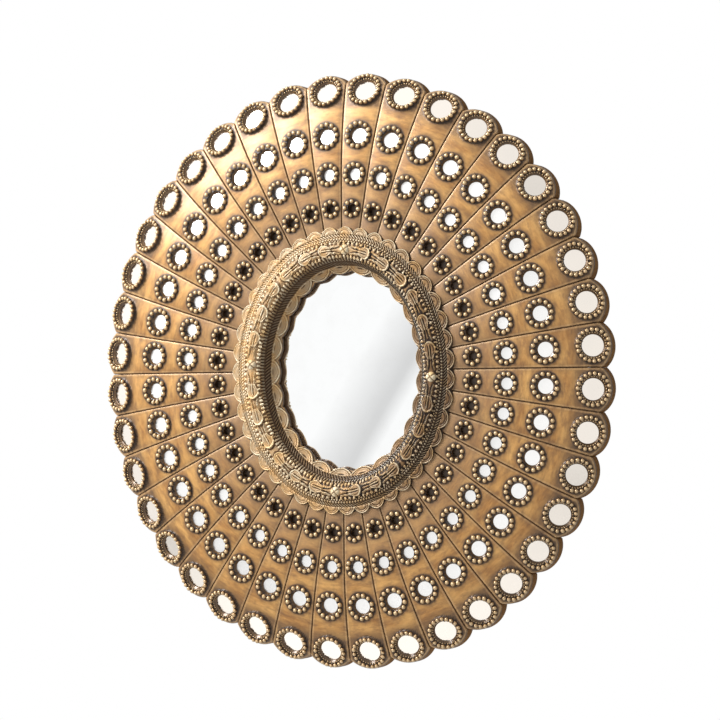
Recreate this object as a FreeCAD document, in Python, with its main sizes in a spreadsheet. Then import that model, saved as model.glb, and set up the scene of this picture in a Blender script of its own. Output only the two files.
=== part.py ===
import FreeCAD, Part
import math
import os

# An oval sunburst wall mirror. A convex oval glass sits in a carved centre ring, and
# forty wedge petals radiate from the ring. Each petal has four rosettes: three hold
# small round mirrors and the innermost is an empty hole.
# The frame: +Z is up, the front faces -Y and the wall is the plane Y = 0. A "height"
# is a distance in front of the wall, and an "inset" is a distance inwards from the
# oval on which the outermost rosettes stand.

Vector = FreeCAD.Vector
Rotation = FreeCAD.Rotation
Placement = FreeCAD.Placement

X_AXIS = Vector(1, 0, 0)
Y_AXIS = Vector(0, 1, 0)
Z_AXIS = Vector(0, 0, 1)

doc = FreeCAD.newDocument("sunburst_mirror")
sheet = doc.addObject("Spreadsheet::Sheet", "sizes")
nodes = []


# ---------------------------------------------------------------- driving sizes
SIZES = {
    "rim_half_width": 326.0,  # oval of the outer rosettes, half its width
    "rim_half_height": 355.0,  # oval of the outer rosettes, half its height
    "petal_count": 40,  # petals round the oval
    "seam_gap": 0.6,  # gap between neighbouring petals
    "petal_inner_inset": 184.0,  # inset of the petals' inner ends, under the ring
    "tip_reach": 21.0,  # how far a petal's tip stands out past its outer rosette
    "tip_radius": 36.0,  # radius of the rounded tip, seen from the front

    "petal_height": 40.0,  # height of the petals' flat inner part
    "dome_inset": 120.0,  # inset at which the flat part starts to fall to the rim
    "dome_radius": 500.0,  # radius of the falling part
    "foot_height": 2.0,  # height of the rim's rear face, the bumpers' thickness
    "foot_inset": 12.0,  # inset at which the rim's foot ends

    "outer_inset": 0.0,  # first row of rosettes
    "outer_tilt": 25.0,  # first row, outward tilt in degrees
    "outer_rise": 1.4,  # first row, face above the petal
    "outer_boss_radius": 23.4,  # first row, radius of the boss
    "outer_boss_root": 12.0,  # first row, how far the boss reaches into the petal
    "outer_ring_radius": 20.8,  # first row, radius of the beaded ring
    "outer_bead_radius": 2.6,  # first row, radius of a bead
    "outer_mirror_radius": 13.4,  # first row, radius of the mirror
    "outer_mirror_depth": 5.0,  # first row, mirror below the boss's face

    "middle_inset": 58.1,  # second row of rosettes
    "middle_tilt": 10.0,  # second row, outward tilt in degrees
    "middle_rise": 1.0,  # second row, face above the petal
    "middle_boss_radius": 18.2,  # second row, radius of the boss
    "middle_boss_root": 4.0,  # second row, how far the boss reaches into the petal
    "middle_ring_radius": 15.4,  # second row, radius of the beaded ring
    "middle_bead_radius": 2.5,  # second row, radius of a bead
    "middle_mirror_radius": 9.4,  # second row, radius of the mirror
    "middle_mirror_depth": 4.5,  # second row, mirror below the boss's face

    "inner_inset": 107.5,  # third row of rosettes
    "inner_tilt": 3.0,  # third row, outward tilt in degrees
    "inner_rise": 1.0,  # third row, face above the petal
    "inner_boss_radius": 15.2,  # third row, radius of the boss
    "inner_boss_root": 4.0,  # third row, how far the boss reaches into the petal
    "inner_ring_radius": 12.4,  # third row, radius of the beaded ring
    "inner_bead_radius": 2.6,  # third row, radius of a bead
    "inner_mirror_radius": 7.3,  # third row, radius of the mirror
    "inner_mirror_depth": 4.5,  # third row, mirror below the boss's face

    "blind_inset": 151.0,  # fourth row, rosettes with an empty hole
    "blind_tilt": 2.0,  # fourth row, outward tilt in degrees
    "blind_rise": 1.0,  # fourth row, face above the petal
    "blind_boss_radius": 11.9,  # fourth row, radius of the boss
    "blind_boss_root": 4.0,  # fourth row, how far the boss reaches into the petal
    "blind_ring_radius": 9.2,  # fourth row, radius of the beaded ring
    "blind_bead_radius": 2.5,  # fourth row, radius of a bead
    "blind_hole_radius": 4.8,  # fourth row, radius of the hole
    "blind_hole_depth": 8.0,  # fourth row, depth of the hole

    "small_mirror_thickness": 2.0,  # thickness of the small mirrors
    "small_mirror_play": 0.2,  # radial play of the small mirrors in their seats

    "board_rear_height": 8.0,  # height of the back board's rear face
    "board_thickness": 9.0,  # thickness of the back board
    "board_edge_play": 2.0,  # gap between the back board and the rim's foot
    "glass_inset": 225.0,  # inset of the centre glass's edge
    "glass_thickness": 4.0,  # thickness of the centre glass
    "glass_play": 0.5,  # gap round the glass and its backing in the back board
    "glass_lip_gap": 0.3,  # gap between the bulging glass and the ring's lip
    "glass_crown": 7.0,  # how far the convex glass bulges
    "glass_flatness": 4.0,  # how much wider than the glass its parent ellipsoid is

    "ring_outer_inset": 174.0,  # outer edge of the centre ring
    "ring_crest_inset": 203.0,  # crest of the centre ring
    "ring_inner_inset": 232.0,  # inner edge of the centre ring's lip
    "ring_foot_inset": 187.0,  # outer side of the centre ring's foot
    "ring_crest_height": 51.0,  # height of the centre ring's crest
    "ring_crest_half_width": 9.0,  # half the width of the rounded crest
    "ring_shoulder_height": 46.5,  # height of the crest's two edges
    "flange_thickness": 2.6,  # thickness of the scalloped flange at its edge
    "flange_width": 9.0,  # width of the scalloped flange
    "flange_slope": 1.8,  # rise across the scalloped flange
    "flange_scallops": 46,  # scallops on the flange
    "lip_height": 24.0,  # height of the lip's inner edge
    "lip_width": 10.0,  # width of the scalloped lip
    "lip_slope": 6.0,  # rise across the scalloped lip
    "lip_scallops": 30,  # scallops on the lip
    "plate_root": 3.0,  # how far the flange and the lip run into the moulding
    "scallop_depth": 2.6,  # depth of the notches between scallops
    "stud_radius": 4.6,  # radius of the four studs on the crest
    "stud_turn": 3.5,  # clockwise turn of the four studs in degrees

    "screw_radius": 1.75,  # shank of all the wood screws
    "screw_play": 0.1,  # radial play of the screws' holes
    "screw_head_radius": 3.6,  # head of all the wood screws
    "screw_head_thickness": 2.0,  # height of the screws' heads
    "hole_run": 1.0,  # how much deeper than its screw each blind hole is
    "petal_screw_inset": 82.0,  # inset of the screws that hold the petals
    "petal_screw_length": 20.0,  # length of the petals' screws under the head
    "ring_screw_length": 25.0,  # length of the centre ring's screws under the head
    "ring_screw_count": 8,  # screws that hold the centre ring
    "short_screw_length": 8.0,  # length of the clips' and hangers' screws

    "clip_count": 6,  # clips that hold the glass's backing
    "clip_length": 24.0,  # length of a clip
    "clip_width": 12.0,  # width of a clip
    "clip_thickness": 1.5,  # thickness of a clip
    "clip_overlap": 9.0,  # how far a clip reaches over the backing

    "bumper_radius": 6.0,  # radius of a wall bumper
    "bumper_seat_inset": 3.0,  # inset of the bumpers on the rim's foot

    "hanger_x": 166.0,  # sideways place of the two hangers
    "hanger_z": 150.0,  # height of the two hangers' hinge axis above the centre
    "strap_width": 18.0,  # width of a hanger's strap
    "strap_length": 42.0,  # length of a hanger's strap below its hinge axis
    "strap_thickness": 1.2,  # thickness of a hanger's strap
    "strap_screw_first": 25.0,  # first strap screw below the hinge axis
    "strap_screw_second": 36.0,  # second strap screw below the hinge axis
    "wire_radius": 1.5,  # radius of the hanger ring's wire
    "wire_play": 0.08,  # radial play of the wire in the strap's loop
    "hanger_ring_radius": 12.0,  # half the width of the hanger ring, to the wire's middle
    "hanger_ring_arm": 6.0,  # straight arms of the hanger ring
}

for row, (alias, number) in enumerate(SIZES.items(), start=1):
    sheet.set(f"A{row}", alias)
    sheet.set(f"B{row}", str(number))
    sheet.setAlias(f"B{row}", alias)
doc.recompute()


# --------------------------------------------------------------------- helpers
def bind(thing, expressions):
    for name, expression in expressions.items():
        thing.setExpression(name, expression)
    return thing


def primitive(kind, name, expressions, placement=Placement()):
    thing = doc.addObject(kind, name)
    thing.Placement = placement
    return bind(thing, expressions)


def fuse(name, shapes):
    thing = doc.addObject("Part::MultiFuse", name)
    thing.Shapes = shapes
    return thing


def combine(kind, name, base, tool):
    thing = doc.addObject(kind, name)
    thing.Base = base
    thing.Tool = tool
    return thing


def cut(name, base, tool):
    return combine("Part::Cut", name, base, tool)


def common(name, base, tool):
    return combine("Part::Common", name, base, tool)


def solid_feature(name, shape, placement=Placement()):
    thing = doc.addObject("Part::Feature", name)
    thing.Shape = shape
    thing.Placement = placement
    return thing


def node(thing, label):
    thing.Label = label
    nodes.append(thing)
    return thing


TALL = SIZES["rim_half_height"] >= SIZES["rim_half_width"]
LONG_AXIS, SHORT_AXIS = (Z_AXIS, X_AXIS) if TALL else (X_AXIS, Z_AXIS)
LONG_HALF, SHORT_HALF = (("rim_half_height", "rim_half_width") if TALL
                         else ("rim_half_width", "rim_half_height"))


def on_oval(inset, angle):
    """A point (x, z) of the oval at an inset; angle is the oval's own parameter."""
    width = SIZES["rim_half_width"] - inset
    height = SIZES["rim_half_height"] - inset
    return Vector(width * math.cos(angle), 0, height * math.sin(angle))


def outward(angle):
    """The direction in which insets are counted, at the oval's parameter angle."""
    return Vector(math.cos(angle), 0, math.sin(angle))


def oval_edge(name, inset, height):
    """The oval at an inset and a height, both given as expressions."""
    edge = primitive("Part::Ellipse", name, {
        "MajorRadius": f"sizes.{LONG_HALF} - ({inset})",
        "MinorRadius": f"sizes.{SHORT_HALF} - ({inset})",
        "Placement.Base.y": f"-({height})",
    })
    edge.Placement.Rotation = Rotation(LONG_AXIS, SHORT_AXIS, LONG_AXIS.cross(SHORT_AXIS), "ZXY")
    return edge


def oval_slab(name, inset, height, thickness):
    """An oval plate; all three arguments are expressions, and height is its front."""
    edge = oval_edge(name + "_edge", inset, height)
    slab = doc.addObject("Part::Extrusion", name)
    slab.Base = edge
    slab.Dir = Y_AXIS
    slab.Solid = True
    return bind(slab, {"LengthFwd": thickness})


def equal_arcs(pieces):
    """Parameters that split the outer rosettes' oval into arcs of equal length."""
    steps = 7200
    turn = 2 * math.pi
    marks = [on_oval(0, turn * step / steps) for step in range(steps + 1)]
    length = [0.0]
    for before, after in zip(marks, marks[1:]):
        length.append(length[-1] + (after - before).Length)
    angles = []
    step = 0
    for piece in range(pieces):
        goal = length[-1] * piece / pieces
        while length[step + 1] < goal:
            step += 1
        share = (goal - length[step]) / (length[step + 1] - length[step])
        angles.append(turn * (step + share) / steps)
    return angles


half_pitches = equal_arcs(2 * int(SIZES["petal_count"]))
petal_angles = half_pitches[1::2]
seam_angles = half_pitches[0::2] + [half_pitches[0] + 2 * math.pi]


# ---------------------------------------------------------------------- petals
# Every petal is cut from one blank with a wedge of its own. The blank lies in the
# petal's frame: X across it, Z outwards along it, with its outer rosette at Z = 0.
MIRROR_ROWS = ["outer", "middle", "inner"]
ROWS = MIRROR_ROWS + ["blind"]


def surface_height(inset):
    fall = max(0.0, SIZES["dome_inset"] - inset)
    radius = SIZES["dome_radius"]
    return SIZES["petal_height"] - radius + math.sqrt(radius ** 2 - fall ** 2)


def blank_side():
    """The petal's section along its length, drawn out sideways."""
    dome = SIZES["dome_inset"]
    tip = SIZES["tip_reach"]
    inner = SIZES["petal_inner_inset"]
    foot = SIZES["foot_inset"]
    low = SIZES["foot_height"]
    seat = SIZES["board_rear_height"] + SIZES["board_thickness"]
    top = SIZES["petal_height"]

    def point(inset, height):
        return Vector(-SIZES["tip_radius"], -height, -inset)

    middle = (dome - tip) / 2
    corners = [point(dome, top), point(inner, top), point(inner, seat),
               point(foot, seat), point(foot, low), point(-tip, low),
               point(-tip, surface_height(-tip))]
    edges = [Part.LineSegment(a, b).toShape() for a, b in zip(corners, corners[1:])]
    falling = Part.Arc(corners[-1], point(middle, surface_height(middle)), corners[0])
    edges.append(falling.toShape())
    face = Part.Face(Part.Wire(edges))
    return face.extrude(X_AXIS * (2 * SIZES["tip_radius"]))


def rosette_place(row, above):
    """A place on the rosette's axis, above its petal's surface."""
    inset = SIZES[row + "_inset"]
    tilt = math.radians(SIZES[row + "_tilt"])
    foot = Vector(0, -surface_height(inset), -inset)
    normal = Vector(0, -math.cos(tilt), math.sin(tilt))
    return Placement(foot + normal * above, Rotation(X_AXIS, 90 - SIZES[row + "_tilt"]))


def rosette_boss(row):
    """The raised disc under a rosette, with its root inside the petal."""
    return primitive("Part::Cylinder", row + "_boss", {
        "Radius": f"sizes.{row}_boss_radius",
        "Height": f"sizes.{row}_rise + sizes.{row}_boss_root",
    }, rosette_place(row, -SIZES[row + "_boss_root"]))


def rosette_ring(row):
    """The ridge that the beads are carved from, with a flat top and a sloping side."""
    return primitive("Part::Cone", row + "_ring", {
        "Radius1": f"sizes.{row}_ring_radius + sizes.{row}_bead_radius",
        "Radius2": f"sizes.{row}_ring_radius + sizes.{row}_bead_radius / 2",
        "Height": f"sizes.{row}_bead_radius",
    }, rosette_place(row, SIZES[row + "_rise"]))


def mirror_seat(row):
    """The recess of a small mirror, with a mouth that opens towards the beads."""
    rise = SIZES[row + "_rise"]
    depth = SIZES[row + "_mirror_depth"]
    thickness = SIZES["small_mirror_thickness"]
    seat = primitive("Part::Cylinder", row + "_seat", {
        "Radius": f"sizes.{row}_mirror_radius + sizes.small_mirror_play",
        "Height": "sizes.small_mirror_thickness",
    }, rosette_place(row, rise - depth - thickness))
    mouth = primitive("Part::Cone", row + "_mouth", {
        "Radius1": f"sizes.{row}_mirror_radius + sizes.small_mirror_play",
        "Radius2": f"sizes.{row}_ring_radius - sizes.{row}_bead_radius / 2",
        "Height": f"sizes.{row}_mirror_depth + sizes.{row}_bead_radius",
    }, rosette_place(row, rise - depth))
    return [seat, mouth]


def petal_blank():
    side = solid_feature("blank_side", blank_side())
    tip_disc = primitive("Part::Cylinder", "tip_disc", {
        "Radius": "sizes.tip_radius",
        "Height": "2 * sizes.petal_height",
        "Placement.Base.z": "sizes.tip_reach - sizes.tip_radius",
    }, Placement(Vector(), Rotation(X_AXIS, 90)))
    length_box = primitive("Part::Box", "length_box", {
        "Length": "2 * sizes.tip_radius",
        "Width": "2 * sizes.petal_height",
        "Height": "sizes.petal_inner_inset + sizes.tip_reach - sizes.tip_radius",
        "Placement.Base.x": "-sizes.tip_radius",
        "Placement.Base.y": "-2 * sizes.petal_height",
        "Placement.Base.z": "-sizes.petal_inner_inset",
    })
    outline = fuse("petal_outline", [tip_disc, length_box])
    # Above the outer rosette's tilted face the tip is planed off.
    plane_tool = primitive("Part::Box", "plane_tool", {
        "Length": "4 * sizes.tip_radius",
        "Width": "2 * sizes.tip_radius",
        "Height": "sizes.petal_height",
    }, rosette_place("outer", SIZES["outer_rise"]).multiply(
        Placement(Vector(-2 * SIZES["tip_radius"], 0, 0), Rotation())))
    body = cut("planed_side", side, plane_tool)
    body = fuse("bossed_side", [body] + [rosette_boss(row) for row in ROWS])
    body = common("trimmed_side", body, outline)
    body = fuse("ringed_side", [body] + [rosette_ring(row) for row in ROWS])
    hole = primitive("Part::Cylinder", "blind_hole", {
        "Radius": "sizes.blind_hole_radius",
        "Height": "sizes.blind_hole_depth + sizes.blind_bead_radius + sizes.blind_rise",
    }, rosette_place("blind", -SIZES["blind_hole_depth"]))
    pilot = primitive("Part::Cylinder", "petal_pilot", {
        "Radius": "sizes.screw_radius + sizes.screw_play",
        "Height": "sizes.board_rear_height + sizes.petal_screw_length + sizes.hole_run",
        "Placement.Base.z": "-sizes.petal_screw_inset",
    }, Placement(Vector(), Rotation(X_AXIS, 90)))
    tools = [hole, pilot]
    for row in MIRROR_ROWS:
        tools += mirror_seat(row)
    return cut("petal_blank", body, fuse("petal_tools", tools))


def petal_frame(angle):
    """The petal's frame: on the wall, below its outer rosette, with Z outwards."""
    return Placement(on_oval(0, angle), Rotation(Y_AXIS, 90 - math.degrees(angle)))


def seam_crossing(petal_angle, seam_angle, reach):
    """How far across the petal its seam runs, at a reach along the petal."""
    along = outward(petal_angle)
    across = Vector(math.sin(petal_angle), 0, -math.cos(petal_angle))
    seam = outward(seam_angle)
    start = on_oval(0, seam_angle) - on_oval(0, petal_angle)
    step = (reach - start.dot(along)) / seam.dot(along)
    return (start + seam * step).dot(across)


def petal(index, blank):
    angle = petal_angles[index]
    left, right = seam_angles[index + 1], seam_angles[index]
    half_gap = SIZES["seam_gap"] / 2
    inner, tip = -SIZES["petal_inner_inset"], SIZES["tip_reach"]
    wedge = primitive("Part::Wedge", f"wedge_{index + 1:02d}", {
        "Ymin": "-sizes.petal_inner_inset",
        "Ymax": "sizes.tip_reach",
        "Zmax": "2 * sizes.petal_height",
        "Z2max": "2 * sizes.petal_height",
    }, Placement(Vector(), Rotation(X_AXIS, 90)))
    wedge.Zmin = 0
    wedge.Z2min = 0
    wedge.Xmin = seam_crossing(angle, left, inner) + half_gap
    wedge.Xmax = seam_crossing(angle, right, inner) - half_gap
    wedge.X2min = seam_crossing(angle, left, tip) + half_gap
    wedge.X2max = seam_crossing(angle, right, tip) - half_gap
    name = f"petal_{index + 1:02d}"
    piece = common(name + "_cut", blank, wedge)
    piece.Placement = petal_frame(angle)
    return node(piece, name)


def small_mirrors(row):
    """All the mirrors of one row, each lying on the floor of its seat."""
    depth = SIZES[row + "_mirror_depth"] + SIZES["small_mirror_thickness"]
    disc = primitive("Part::Cylinder", row + "_disc", {
        "Radius": f"sizes.{row}_mirror_radius",
        "Height": "sizes.small_mirror_thickness",
    }, rosette_place(row, SIZES[row + "_rise"] - depth))
    doc.recompute()
    discs = []
    for angle in petal_angles:
        copy = disc.Shape.copy()
        copy.Placement = petal_frame(angle).multiply(disc.Placement)
        discs.append(copy)
    return node(solid_feature(row + "_discs", Part.makeCompound(discs)), row + "_row_mirrors")


blank = petal_blank()
for index in range(int(SIZES["petal_count"])):
    petal(index, blank)
for row in MIRROR_ROWS:
    small_mirrors(row)


# ----------------------------------------------------------------- wood screws
def screw_shape(length):
    """A pan-head wood screw that points along +Z, its head's seat at Z = 0."""
    radius = SIZES["screw_radius"]
    head_radius = SIZES["screw_head_radius"]
    head = SIZES["screw_head_thickness"]
    shank = Part.makeCylinder(radius, length - radius)
    point = Part.makeCone(radius, radius / 8, radius, Vector(0, 0, length - radius))
    pan = Part.makeCylinder(head_radius, head, Vector(0, 0, -head))
    pan = pan.makeFillet(head / 2, [pan.Edges[2]])
    slot_width = head_radius / 4
    slot = Part.makeBox(3 * head_radius, slot_width, head / 2,
                        Vector(-1.5 * head_radius, -slot_width / 2, -head))
    return shank.fuse([point, pan]).removeSplitter().cut(slot)


def screws(label, length, seats):
    """Screws driven forwards, from their head seats (points) into the wood."""
    one = screw_shape(length)
    group = []
    for seat in seats:
        copy = one.copy()
        copy.Placement = Placement(seat, Rotation(X_AXIS, 90))
        group.append(copy)
    return node(solid_feature(label + "_group", Part.makeCompound(group)), label)


def holes(name, depth, seats):
    """Round holes for screws, forwards from the given points."""
    radius = SIZES["screw_radius"] + SIZES["screw_play"]
    group = [Part.makeCylinder(radius, depth, seat, -Y_AXIS) for seat in seats]
    return solid_feature(name, Part.makeCompound(group))


board_rear = SIZES["board_rear_height"]
board_front = board_rear + SIZES["board_thickness"]


def behind_board(point, height=board_rear):
    return Vector(point.x, -height, point.z)


petal_seats = [behind_board(on_oval(SIZES["petal_screw_inset"], angle))
               for angle in petal_angles]
ring_seats = []
for number in range(int(SIZES["ring_screw_count"])):
    turn = 2 * math.pi * (number + 0.5) / SIZES["ring_screw_count"]
    ring_seats.append(behind_board(on_oval(SIZES["ring_crest_inset"], turn)))

clip_angles = [2 * math.pi * (number + 0.5) / SIZES["clip_count"]
               for number in range(int(SIZES["clip_count"]))]
clip_height = board_rear - SIZES["clip_thickness"]


def clip_frame(angle):
    """On the back board's rear, at the edge of its aperture, with Z outwards."""
    # The true normal of the oval leans from the inset direction.
    width = SIZES["rim_half_width"] - SIZES["glass_inset"]
    height = SIZES["rim_half_height"] - SIZES["glass_inset"]
    normal = math.atan2(math.sin(angle) / height, math.cos(angle) / width)
    place = behind_board(on_oval(SIZES["glass_inset"], angle))
    return Placement(place, Rotation(Y_AXIS, 90 - math.degrees(normal)))


clip_screw_reach = (SIZES["clip_length"] - SIZES["clip_overlap"]) / 2
clip_seats = []
for angle in clip_angles:
    spot = clip_frame(angle).multVec(Vector(0, 0, clip_screw_reach))
    clip_seats.append(spot)

hanger_sides = {"left": -1, "right": 1}
strap_seats = []
for side in hanger_sides.values():
    for drop in (SIZES["strap_screw_first"], SIZES["strap_screw_second"]):
        strap_seats.append(Vector(side * SIZES["hanger_x"], -board_rear, SIZES["hanger_z"] - drop))


# ------------------------------------------------------------------ back board
def back_board():
    outer = oval_slab("board_outer", "sizes.foot_inset + sizes.board_edge_play",
                      "sizes.board_rear_height + sizes.board_thickness",
                      "sizes.board_thickness")
    aperture = oval_slab("board_aperture", "sizes.glass_inset - sizes.glass_play",
                         "sizes.board_rear_height + 2 * sizes.board_thickness",
                         "3 * sizes.board_thickness")
    through = holes("board_through_holes", SIZES["board_thickness"], petal_seats + ring_seats)
    blind_depth = SIZES["short_screw_length"] + SIZES["hole_run"] / 2
    blind = holes("board_blind_holes", blind_depth, clip_seats + strap_seats)
    tools = fuse("board_tools", [aperture, through, blind])
    node(cut("board_cut", outer, tools), "back_board")


back_board()


# ---------------------------------------------------------------- centre glass
def glass_bulge():
    """The third radius of the ellipsoid that the glass's front is a cap of."""
    return SIZES["glass_crown"] / (1 - math.sqrt(1 - 1 / SIZES["glass_flatness"] ** 2))


def glass_rise(inset):
    """How far the glass's front rises from its rim to an inset, on the short axis."""
    rim = SIZES[SHORT_HALF] - SIZES["glass_inset"]
    share = (SIZES[SHORT_HALF] - inset) / (SIZES["glass_flatness"] * rim)
    return SIZES["glass_crown"] - glass_bulge() * (1 - math.sqrt(1 - share ** 2))


def centre_mirror():
    """A convex oval glass of even thickness on a flat backing panel."""
    lip_gap = SIZES["glass_lip_gap"] + glass_rise(SIZES["ring_inner_inset"])
    rim_front = board_front - lip_gap
    rim_rear = rim_front - SIZES["glass_thickness"]
    slab = oval_slab("glass_slab", "sizes.glass_inset", f"{rim_front} + sizes.glass_crown",
                     "sizes.glass_thickness + sizes.glass_crown")
    skins = []
    for name, height in (("front", rim_front), ("rear", rim_rear)):
        centre = Vector(0, glass_bulge() - SIZES["glass_crown"] - height, 0)
        skin = primitive("Part::Ellipsoid", "glass_" + name, {
            "Radius1": "sizes.glass_flatness * (sizes.rim_half_height - sizes.glass_inset)",
            "Radius2": "sizes.glass_flatness * (sizes.rim_half_width - sizes.glass_inset)",
        }, Placement(centre, Rotation()))
        skin.Radius3 = glass_bulge()
        skins.append(skin)
    dome = common("glass_dome", slab, skins[0])
    node(cut("glass_cut", dome, skins[1]), "centre_mirror")
    node(oval_slab("backing_slab", "sizes.glass_inset", f"{rim_rear}",
                   f"{rim_rear} - sizes.board_rear_height"), "glass_backing")



centre_mirror()


# ----------------------------------------------------------------- centre ring
def scalloped_wire(inset, notch, count, height, turn=0.0):
    """A closed outline of arcs: peaks on one oval, notches a little inside the ring."""
    step = 2 * math.pi / count
    edges = []
    for number in range(count):
        first = on_oval(inset + notch, turn + number * step)
        peak = on_oval(inset, turn + (number + 0.5) * step)
        last = on_oval(inset + notch, turn + (number + 1) * step)
        for point in (first, peak, last):
            point.y = -height
        edges.append(Part.Arc(first, peak, last).toShape())
    return Part.Wire(edges)


def oval_wire(inset, height):
    curve = Part.Ellipse(LONG_AXIS * (SIZES[LONG_HALF] - inset),
                         SHORT_AXIS * (SIZES[SHORT_HALF] - inset), Vector())
    wire = Part.Wire(curve.toShape())
    wire.translate(Vector(0, -height, 0))
    return wire


def ring_section():
    """The ring's section at the end of its long axis, from the foot round to the lip."""
    crest_in = SIZES["ring_crest_inset"] + SIZES["ring_crest_half_width"]
    crest_out = SIZES["ring_crest_inset"] - SIZES["ring_crest_half_width"]
    shoulder = SIZES["ring_shoulder_height"]
    flange_low = SIZES["petal_height"]
    flange_top = flange_low + SIZES["flange_thickness"]
    band = SIZES["ring_outer_inset"] + SIZES["flange_width"]
    lip_out = SIZES["ring_inner_inset"] - SIZES["lip_width"]
    lip = SIZES["lip_height"]

    def point(inset, height):
        return LONG_AXIS * (SIZES[LONG_HALF] - inset) - Y_AXIS * height

    outline = [point(crest_out, shoulder), point(band, flange_top + SIZES["flange_slope"]),
               point(band, flange_low), point(SIZES["ring_foot_inset"], flange_low),
               point(SIZES["ring_foot_inset"], board_front), point(lip_out, board_front),
               point(lip_out, lip + SIZES["lip_slope"]), point(crest_in, shoulder)]
    edges = [Part.LineSegment(a, b).toShape() for a, b in zip(outline, outline[1:])]
    top = point(SIZES["ring_crest_inset"], SIZES["ring_crest_height"])
    edges.append(Part.Arc(outline[-1], top, outline[0]).toShape())
    return Part.Wire(edges)


def centre_ring():
    section = solid_feature("ring_section", ring_section())
    path = oval_edge("ring_path", "sizes.ring_crest_inset",
                     "sizes.board_rear_height + sizes.board_thickness")
    moulding = doc.addObject("Part::Sweep", "ring_moulding")
    moulding.Sections = [section]
    moulding.Spine = (path, ["Edge1"])
    moulding.Solid = True
    moulding.Frenet = True
    flange_low = SIZES["petal_height"]
    flange_root = SIZES["ring_outer_inset"] + SIZES["flange_width"] + SIZES["plate_root"]
    flange_hole = oval_wire(flange_root, flange_low)
    flange_edge = scalloped_wire(SIZES["ring_outer_inset"], SIZES["scallop_depth"],
                                 int(SIZES["flange_scallops"]), flange_low)
    flange = Part.Face([flange_edge, flange_hole]).extrude(-Y_AXIS * SIZES["flange_thickness"])
    # The lip's scallops reach inwards, so their peaks lie at the larger inset.
    lip_hole = scalloped_wire(SIZES["ring_inner_inset"], -SIZES["scallop_depth"],
                              int(SIZES["lip_scallops"]), board_front)
    lip_root = SIZES["ring_inner_inset"] - SIZES["lip_width"] - SIZES["plate_root"]
    lip_edge = oval_wire(lip_root, board_front)
    lip_rise = SIZES["lip_height"] - board_front
    lip = Part.Face([lip_edge, lip_hole]).extrude(-Y_AXIS * lip_rise)
    studs = []
    for quarter in range(4):
        turn = math.radians(90 * quarter - SIZES["stud_turn"])
        spot = on_oval(SIZES["ring_crest_inset"], turn)
        spot.y = -(SIZES["ring_crest_height"] - SIZES["stud_radius"] / 2)
        studs.append(primitive("Part::Sphere", f"ring_stud_{quarter + 1}",
                               {"Radius": "sizes.stud_radius"}, Placement(spot, Rotation())))
    parts = [moulding, solid_feature("ring_flange", flange), solid_feature("ring_lip", lip)]
    blocks = fuse("ring_blocks", parts + studs)
    reach = SIZES["ring_screw_length"] - SIZES["board_thickness"] + SIZES["hole_run"]
    front_seats = [behind_board(seat, board_front) for seat in ring_seats]
    node(cut("ring_cut", blocks, holes("ring_holes", reach, front_seats)), "centre_ring")


centre_ring()


# ------------------------------------------------------------ fixings and clips
def backing_clips():
    length, width = SIZES["clip_length"], SIZES["clip_width"]
    thick = SIZES["clip_thickness"]
    plate = Part.makeBox(width, thick, length, Vector(-width / 2, 0, -SIZES["clip_overlap"]))
    corner = width / 4
    plate = plate.makeFillet(corner, [e for e in plate.Edges if abs(e.tangentAt(0).y) > 0.9])
    hole = Part.makeCylinder(SIZES["screw_radius"] + SIZES["screw_play"], 3 * thick,
                             Vector(0, -thick, clip_screw_reach), Y_AXIS)
    plate = plate.cut(hole)
    clips = []
    for angle in clip_angles:
        copy = plate.copy()
        copy.Placement = clip_frame(angle)
        clips.append(copy)
    node(solid_feature("clip_group", Part.makeCompound(clips)), "backing_clips")
    seats = [behind_board(seat, clip_height) for seat in clip_seats]
    screws("clip_screws", SIZES["short_screw_length"], seats)


backing_clips()
screws("petal_screws", SIZES["petal_screw_length"], petal_seats)
screws("ring_screws", SIZES["ring_screw_length"], ring_seats)


def wall_bumpers():
    """Four rubber discs on the rim's foot, whose rear faces touch the wall."""
    count = int(SIZES["petal_count"])
    tall = SIZES["foot_height"]
    radius = SIZES["bumper_radius"]
    disc = Part.makeCylinder(radius, tall, Vector(0, -tall, 0), Y_AXIS)
    rear_edge = [e for e in disc.Edges if abs(e.CenterOfMass.y) < tall / 10]
    disc = disc.makeChamfer(tall / 4, rear_edge)
    discs = []
    for quarter in range(4):
        index = quarter * count // 4 + count // 8
        copy = disc.copy()
        copy.translate(on_oval(SIZES["bumper_seat_inset"], petal_angles[index]))
        discs.append(copy)
    node(solid_feature("bumper_group", Part.makeCompound(discs)), "wall_bumpers")


wall_bumpers()


# --------------------------------------------------------------------- hangers
loop_outer = SIZES["wire_radius"] + SIZES["wire_play"] + SIZES["strap_thickness"]
hinge_height = board_rear - loop_outer


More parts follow.
